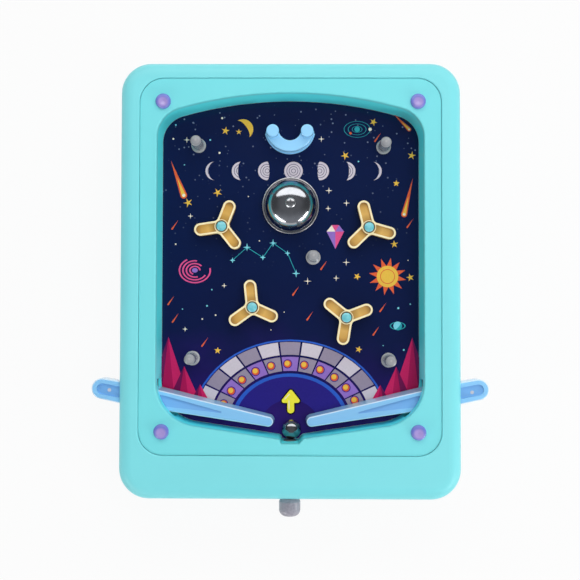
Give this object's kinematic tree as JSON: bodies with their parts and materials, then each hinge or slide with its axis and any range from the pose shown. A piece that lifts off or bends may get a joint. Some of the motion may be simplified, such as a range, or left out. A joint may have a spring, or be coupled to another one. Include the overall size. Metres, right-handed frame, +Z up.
{
  "type": "toy pinball machine",
  "caption": "Wedge-shaped tabletop pinball toy: sunken playfield with bell, spinners, posts and ball catcher, two swinging side levers, sprung plunger and steel ball.",
  "frame": {"origin": "centre of the bounding box, on the surface that the feet stand on", "axes": "+Z up, +Y away from the player, up the field, +X to the player's right"},
  "size_m": [0.2676, 0.3106, 0.0726],
  "materials": {
    "case_blue": "moulded pale turquoise styrene, satin gloss",
    "frame_blue": "moulded pale turquoise styrene, satin gloss",
    "board_white": "plain moulded back",
    "print_paper": "glossy night-sky print",
    "bell_chrome": "bright nickel plate",
    "steel": "zinc plated",
    "ball_steel": "polished bearing steel",
    "spring_zinc": "yellow zinc spring wire",
    "lever_blue": "moulded light blue, glossy",
    "cap_purple": "moulded lilac, glossy",
    "clear_plastic": "clear moulded styrene",
    "spinner_yellow": "golden yellow moulding, pale rims",
    "pin_cyan": "moulded pale cyan, glossy",
    "knob_grey": "smoke grey translucent knob",
    "nylon": "natural nylon",
    "rubber": "matt rubber"
  },
  "bodies": {
    "case": {"base_tray": "case_blue", "outer_case": "case_blue", "top_frame": "frame_blue", "playfield_board": "board_white", "print_sheet": "print_paper", "bell_dome": "bell_chrome", "bell_post": "steel", "bell_screw": "steel", "ball_catcher": "lever_blue", "case_screws": "steel", "rubber_feet": "rubber", "left_pivot_pin": "steel", "right_pivot_pin": "steel", "left_return_spring": "spring_zinc", "right_return_spring": "spring_zinc", "plunger_bush": "nylon", "plunger_spring": "spring_zinc", "clear_post_upper_left": "clear_plastic", "clear_post_upper_right": "clear_plastic", "clear_post_middle": "clear_plastic", "clear_post_lower_left": "clear_plastic", "clear_post_lower_right": "clear_plastic", "spinner_pin_upper_left": "pin_cyan", "spinner_pin_upper_right": "pin_cyan", "spinner_pin_lower_left": "pin_cyan", "spinner_pin_lower_right": "pin_cyan", "corner_cap_rear_right": "cap_purple", "corner_cap_rear_left": "cap_purple", "corner_cap_front_right": "cap_purple", "corner_cap_front_left": "cap_purple"},
    "left_flipper": {"left_flipper": "lever_blue"},
    "right_flipper": {"right_flipper": "lever_blue"},
    "plunger": {"plunger_knob": "knob_grey", "plunger_rod": "steel", "plunger_head": "nylon", "plunger_collar": "steel"},
    "ball": {"steel_ball": "ball_steel"},
    "spinner_upper_left": {"spinner_upper_left": "spinner_yellow"},
    "spinner_upper_right": {"spinner_upper_right": "spinner_yellow"},
    "spinner_lower_left": {"spinner_lower_left": "spinner_yellow"},
    "spinner_lower_right": {"spinner_lower_right": "spinner_yellow"}
  },
  "joints": [
    {"name": "left_flipper_swing", "type": "hinge", "parent": "case", "child": "left_flipper", "pos_m": [-0.102, -0.075, 0.0412], "axis": [0, -0.1045, 0.9945], "range_deg": [0, 22], "stiffness_Nm_per_rad": 0.02, "springref_deg": -8.59, "deforming": ["left_return_spring"]},
    {"name": "right_flipper_swing", "type": "hinge", "parent": "case", "child": "right_flipper", "pos_m": [0.102, -0.075, 0.0412], "axis": [0, 0.1045, -0.9945], "range_deg": [0, 22], "stiffness_Nm_per_rad": 0.02, "springref_deg": -8.59, "deforming": ["right_return_spring"]},
    {"name": "plunger_pull", "type": "slide", "parent": "case", "child": "plunger", "axis": [0, -0.9945, -0.1045], "range_m": [0, 0.014], "stiffness_N_per_m": 120, "springref_m": -0.004, "deforming": ["plunger_spring"]},
    {"name": "ball_roll", "type": "slide", "parent": "case", "child": "ball", "axis": [0, 0.9945, 0.1045], "range_m": [0, 0.124]},
    {"name": "spinner_upper_left_turn", "type": "hinge", "parent": "case", "child": "spinner_upper_left", "pos_m": [-0.0472, 0.04103, 0.04123], "axis": [0, -0.1045, 0.9945], "continuous": true},
    {"name": "spinner_upper_right_turn", "type": "hinge", "parent": "case", "child": "spinner_upper_right", "pos_m": [0.0538, 0.04054, 0.04118], "axis": [0, -0.1045, 0.9945], "continuous": true},
    {"name": "spinner_lower_left_turn", "type": "hinge", "parent": "case", "child": "spinner_lower_left", "pos_m": [-0.0259, -0.01407, 0.03544], "axis": [0, -0.1045, 0.9945], "continuous": true},
    {"name": "spinner_lower_right_turn", "type": "hinge", "parent": "case", "child": "spinner_lower_right", "pos_m": [0.0384, -0.02082, 0.03473], "axis": [0, -0.1045, 0.9945], "continuous": true}
  ]
}
